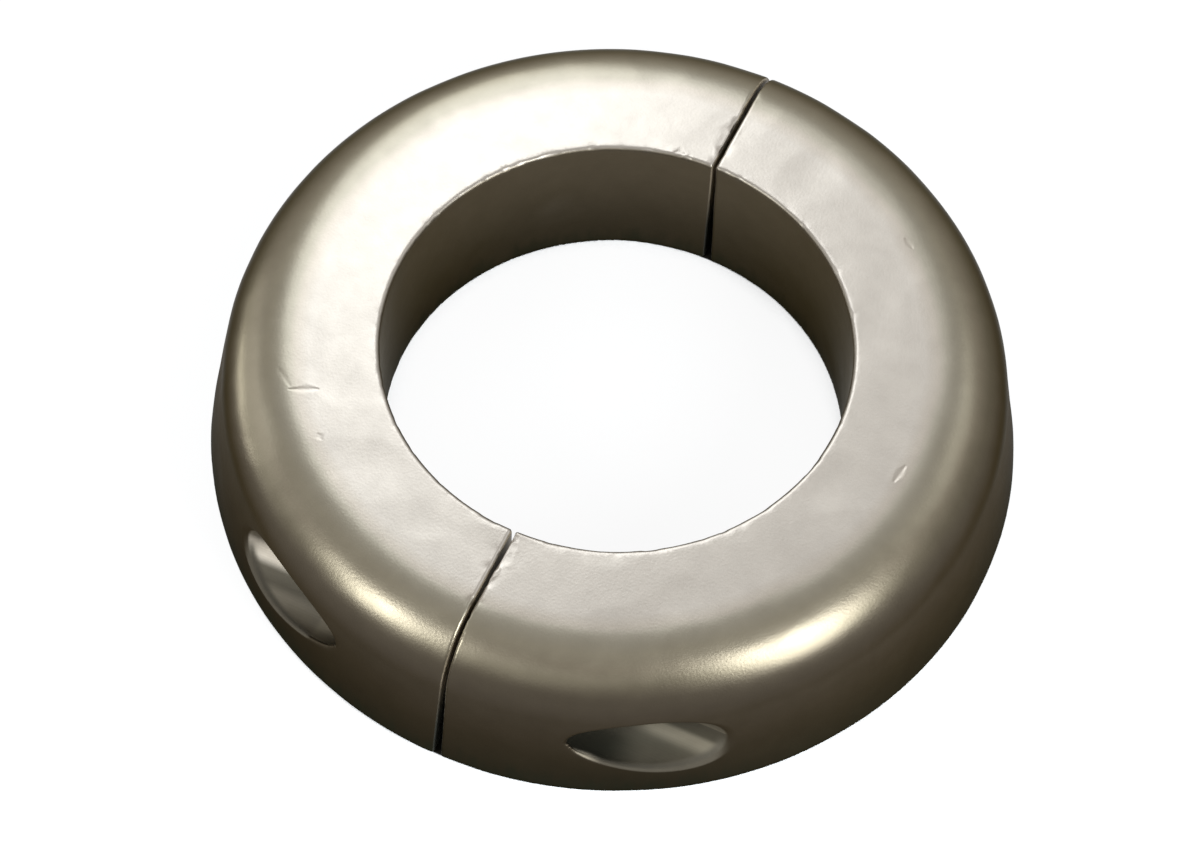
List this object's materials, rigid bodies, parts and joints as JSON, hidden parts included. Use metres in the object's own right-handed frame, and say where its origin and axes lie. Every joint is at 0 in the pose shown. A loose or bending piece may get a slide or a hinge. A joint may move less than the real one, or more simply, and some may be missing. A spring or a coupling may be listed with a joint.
{
  "type": "split collar shaft anode",
  "caption": "Sacrificial zinc collar for a propeller shaft: cast half rings with a rounded shoulder, drawn together by socket-head screws in round side pockets.",
  "frame": {"origin": "centre of the foot face, on the shaft's axis", "axes": "+Z along the shaft's axis, from the foot to the top land; the halves part along the plane X = 0, and -Y is the front"},
  "size_m": [0.105, 0.105, 0.022],
  "materials": {
    "cast_zinc": "satin",
    "stainless": "satin"
  },
  "bodies": {
    "root": {"collar_half_right": "cast_zinc", "collar_half_left": "cast_zinc", "clamp_screw_front": "stainless", "clamp_screw_back": "stainless", "clamp_nut_front": "stainless", "clamp_nut_back": "stainless"}
  },
  "joints": []
}
